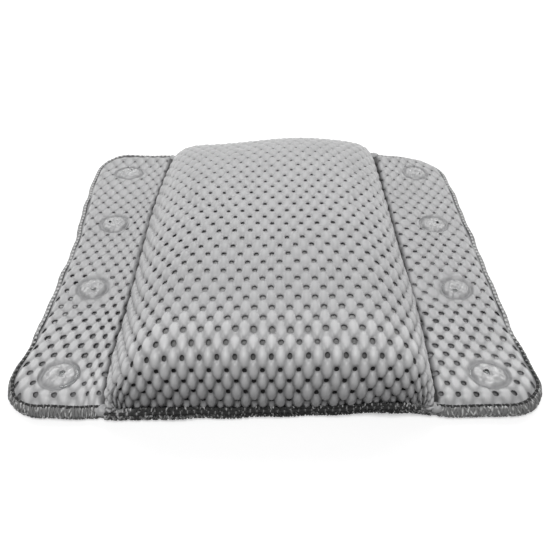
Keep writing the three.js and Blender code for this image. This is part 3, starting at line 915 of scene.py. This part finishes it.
thread = thread_material("thread_charcoal")
hem_lines = {
    "front_hem": ([(-seam_line, -mat_half[1]), (seam_line, -mat_half[1])], 0),
    "rear_hem": ([(seam_line, mat_half[1]), (-seam_line, mat_half[1])], 0),
    "left_flap_hem": (flap_edge(-1), -1),
    "right_flap_hem": (flap_edge(1), 1),
}
for node, (line, side) in hem_lines.items():
    at_front = node == "front_hem"
    surface, length, breadth = hem_surface(line, front_taller if at_front else 0)
    band = hem_band(length, breadth)
    chain = hem_chain(length, (0.71 * breadth, 0.0008) if at_front else (breadth - 0.0005, 0.0002))
    stitch = 0.5 + 0.5 * numpy.sin(places(chain)[:, 0] * math.tau / 0.0043)
    parts = {
        "band": (band, numpy.full(len(band.vertices), 0.45)),
        "loops": hem_loops(length, breadth, 0.0021, 0.0036, len(node)),
        "crossing_loops": hem_loops(length, breadth, 0.0026, -0.0045, len(node) + 50),
        "chain": (chain, 0.05 + 0.85 * stitch**2),
    }
    for kind, (mesh, tone) in parts.items():
        moved = wrapped(places(mesh), numpy.zeros(2), numpy.array((length, breadth)), surface)
        painted(mesh, "tone", hem_tone(tone, moved, side, kind))
        settle(mesh, draped(moved, side) if side else lifted(moved))
        piece = dressed(f"{node}_{kind}", mesh, thread)
        if kind == "band":
            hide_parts(node)
        if side:
            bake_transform(piece)
        else:
            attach(piece, "cushion")


# Seams
# The two sewn creases between the cushion and the flaps: a cord of dark thread, swelled by the lockstitches
# that hold the four sheets together. At each end the spare netting is tucked under and caught in the hem.
cord_radius = 0.0012
cord_length = 0.312
cord_spot = (0.1008, 0.0061)  # out from the middle, and height
cord_stitch = 0.004
tuck_size = (0.0052, 0.0036, 0.003)
tuck_spot = (0.1016, 0.1553, 0.0066)
for side, mark in flap_sides:
    bm = round_bar(cord_length, cord_radius, 12, 155)
    for vert in bm.verts:
        along = vert.co.z
        pinch = 1 - 0.18 * math.cos(along * math.tau / cord_stitch)
        vert.co = (side * cord_spot[0] + vert.co.x * pinch, along, cord_spot[1] + vert.co.y * pinch * 1.2)
    bmesh.ops.reverse_faces(bm, faces=bm.faces[:])  # laying the bar down mirrors it
    cord_mesh = made_mesh(mark + "_seam_cord", bm)
    settle(cord_mesh, lifted(places(cord_mesh)))
    painted(cord_mesh, "tone", 0.25 + 0.25 * numpy.sin(places(cord_mesh)[:, 1] * math.tau / cord_stitch))
    for end, name in ((-1, "front"), (1, "back")):
        bm = bmesh.new()
        bmesh.ops.create_uvsphere(bm, u_segments=36, v_segments=18, radius=1)
        for vert in bm.verts:
            pleat = 1 + 0.1 * math.cos(7 * math.atan2(vert.co.z, vert.co.x) + 2 * vert.co.y)
            vert.co.x = vert.co.x * tuck_size[0] * pleat + side * tuck_spot[0]
            vert.co.y = vert.co.y * tuck_size[1] + end * tuck_spot[1]
            vert.co.z = vert.co.z * tuck_size[2] * pleat + tuck_spot[2]
        tuck_mesh = made_mesh(f"{mark}_{name}_tuck", bm)
        settle(tuck_mesh, lifted(places(tuck_mesh)))
        painted(tuck_mesh, "bead", numpy.full(len(tuck_mesh.vertices), 0.5))
        tuck = dressed(f"{mark}_{name}_tuck", tuck_mesh, net)
        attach(tuck, "cushion")
    seam = dressed(mark + "_seam_cord", cord_mesh, thread)
    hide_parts(mark + "_seam")
    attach(seam, "cushion")


# Suction cups
# Four soft clear vinyl cups under each flap, each moulded in one: a bell with a thin lip, a neck and a flat
# head. The neck goes through the flap's lower sheet and the head lies between the two sheets, so it turns.
cup_bell_inside = [(0, 5.1), (4, 5.0), (8, 4.2), (11, 2.5), (13, 0.7), (13.7, 0.1)]  # radius, height in mm
cup_lip = [(14.3, 0), (15.2, 0), (15.5, 0.25), (15.45, 0.7), (15.1, 1.1)]
cup_bell_outside = [(13.6, 2.8), (11, 4.9), (8, 6.2), (5.6, 6.6), (4.1, 6.75)]
cup_neck = [(3.6, 7.1), (3.6, 8.8), (4.0, 9.2)]
cup_head = [(9.4, 9.25), (9.95, 9.5), (9.95, 10.2), (9.5, 10.55), (3, 10.6), (0, 10.55)]
cup_profile = cup_bell_inside + cup_lip + cup_bell_outside + cup_neck + cup_head
vinyl_tint = (0.86, 0.88, 0.88, 1)
vinyl = bpy.data.materials.new("clear_vinyl")
vinyl.use_nodes = True
vinyl_nodes = vinyl.node_tree.nodes
vinyl_where = vinyl_nodes.new("ShaderNodeTexCoord").outputs["Object"]
vinyl_haze = wired(vinyl_nodes.new("ShaderNodeTexNoise"), {"Scale": 180}, {"Vector": vinyl_where})
vinyl_range = {"To Min": 0.08, "To Max": 0.25}
vinyl_rough = wired(vinyl_nodes.new("ShaderNodeMapRange"), vinyl_range, {"Value": vinyl_haze.outputs["Fac"]})
wired(
    vinyl_nodes["Principled BSDF"],
    {"Base Color": vinyl_tint, "Transmission Weight": 0.9, "IOR": 1.53},
    {"Roughness": vinyl_rough.outputs["Result"]},
)
for side, mark in flap_sides:
    for number, (a, b) in enumerate(cup_spots, 1):
        bm = bmesh.new()
        line = [bm.verts.new((radius / 1000, 0, height / 1000)) for radius, height in cup_profile]
        rim = [bm.edges.new(pair) for pair in zip(line, line[1:])]
        bmesh.ops.spin(
            bm, geom=line + rim, cent=(0, 0, 0), axis=(0, 0, 1), angle=math.tau, steps=40, use_merge=True
        )
        bmesh.ops.remove_doubles(bm, verts=bm.verts[:], dist=1e-6)
        bmesh.ops.recalc_face_normals(bm, faces=bm.faces[:])
        bmesh.ops.translate(bm, verts=bm.verts[:], vec=(side * a, b, 0))
        name = f"cup_{mark}_{number}"
        cup = dressed(name, made_mesh(name, bm), vinyl)
        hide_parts(f"suction_cup_{mark}_{number}")
        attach(cup, f"cup_{mark}_{number}")


# Stage
# A plain white floor with soft light from a large panel overhead, and weaker ones behind and to both sides.
# The floor shows the camera, glossy and see-through rays a white glow, which is dimmed under the mat as a
# painted shadow.
floor_drop = 0.0003
floor_dark = (0.06, 0.06, 0.06, 1)  # as it lights the object
floor_pale = (0.8, 0.8, 0.8, 1)  # as it is seen
bm = bmesh.new()
bmesh.ops.create_grid(bm, x_segments=2, y_segments=2, size=3)
floor_mesh = made_mesh("floor", bm)
floor = linked("floor", floor_mesh)
floor.location.z = -floor_drop
floor_look = bpy.data.materials.new("floor_white")
floor_look.use_nodes = True
floor_nodes = floor_look.node_tree.nodes
floor_nodes.remove(floor_nodes["Principled BSDF"])
floor_mesh.materials.append(floor_look)


def combined(tree, operation, first, second):
    """The output of a new node that puts two numbers together."""
    node = tree.nodes.new("ShaderNodeMath")
    node.operation = operation
    return wired(node, {}, {0: first, 1: second}).outputs["Value"]


def background_rays(tree):
    """1 for a ray that shows the background: one from the camera, or one that is mirrored or goes through."""
    ray = tree.nodes.new("ShaderNodeLightPath").outputs
    seen = combined(tree, "MAXIMUM", ray["Is Camera Ray"], ray["Is Glossy Ray"])
    return combined(tree, "MAXIMUM", seen, ray["Is Transmission Ray"])


floor_rays = background_rays(floor_look.node_tree)
floor_tone = floor_nodes.new("ShaderNodeMix")
floor_tone.data_type = "RGBA"
wired(floor_tone, {"A": floor_dark, "B": floor_pale}, {"Factor": floor_rays})
floor_paint = wired(floor_nodes.new("ShaderNodeBsdfDiffuse"), {}, {"Color": floor_tone.outputs["Result"]})
floor_where = floor_nodes.new("ShaderNodeTexCoord").outputs["Object"]
floor_far = floor_nodes.new("ShaderNodeVectorMath")
floor_far.operation = "LENGTH"
wired(floor_far, {}, {0: floor_where})
floor_fade = floor_nodes.new("ShaderNodeMapRange")
floor_fade.interpolation_type = "SMOOTHSTEP"
floor_fade_range = {"From Min": 0.3, "From Max": 1.4, "To Min": 0.45, "To Max": 1.0}
wired(floor_fade, floor_fade_range, {"Value": floor_far.outputs["Value"]})
floor_reach = floor_nodes.new("ShaderNodeVectorMath")
floor_reach.operation = "ABSOLUTE"
wired(floor_reach, {}, {0: floor_where})
floor_share = floor_nodes.new("ShaderNodeVectorMath")
floor_share.operation = "DIVIDE"
wired(floor_share, {1: (*mat_half, 1)}, {0: floor_reach.outputs["Vector"]})
floor_sides = wired(floor_nodes.new("ShaderNodeSeparateXYZ"), {}, {"Vector": floor_share.outputs["Vector"]})
floor_most = combined(floor_look.node_tree, "MAXIMUM", floor_sides.outputs["X"], floor_sides.outputs["Y"])
# Painted shadow: the glow is dimmed to a quarter inside the mat's outline.
floor_under_range = {"From Min": 0.7, "From Max": 1.0, "To Min": 0.25}
floor_under = wired(floor_nodes.new("ShaderNodeMapRange"), floor_under_range, {"Value": floor_most})
floor_level = combined(floor_look.node_tree, "MULTIPLY", floor_rays, floor_fade.outputs["Result"])
floor_open = combined(floor_look.node_tree, "MULTIPLY", floor_level, floor_under.outputs["Result"])
floor_glow = wired(floor_nodes.new("ShaderNodeEmission"), {}, {"Strength": floor_open})
floor_both = floor_nodes.new("ShaderNodeAddShader")
wired(floor_both, {}, {0: floor_paint.outputs["BSDF"], 1: floor_glow.outputs["Emission"]})
wired(floor_nodes["Material Output"], {}, {"Surface": floor_both.outputs["Shader"]})

lamps = [
    ("panel", (-0.15, -1.05, 2.2), 1.3, 37.5),
    ("rim", (0, 1.3, 1.5), 1.0, 11),
    ("left_fill", (-1.5, 1.2, 0.7), 1.0, 8),
    ("right_fill", (1.5, 1.2, 0.7), 1.0, 8),
]
for name, spot, size, power in lamps:
    panel = bpy.data.objects.new(name, bpy.data.lights.new(name, "AREA"))
    bpy.context.scene.collection.objects.link(panel)
    panel.data.size = size
    panel.data.energy = power
    panel.location = spot
    panel.rotation_euler = panel.location.to_track_quat("Z", "Y").to_euler()

world = bpy.data.worlds.new("world")
bpy.context.scene.world = world
world.use_nodes = True
world_nodes = world.node_tree.nodes
world_level = world_nodes.new("ShaderNodeMix")
wired(world_level, {"A": 0.09, "B": 1.0}, {"Factor": background_rays(world.node_tree)})
wired(world_nodes["Background"], {"Color": (1, 1, 1, 1)}, {"Strength": world_level.outputs["Result"]})
bpy.context.scene.view_settings.view_transform = "Standard"
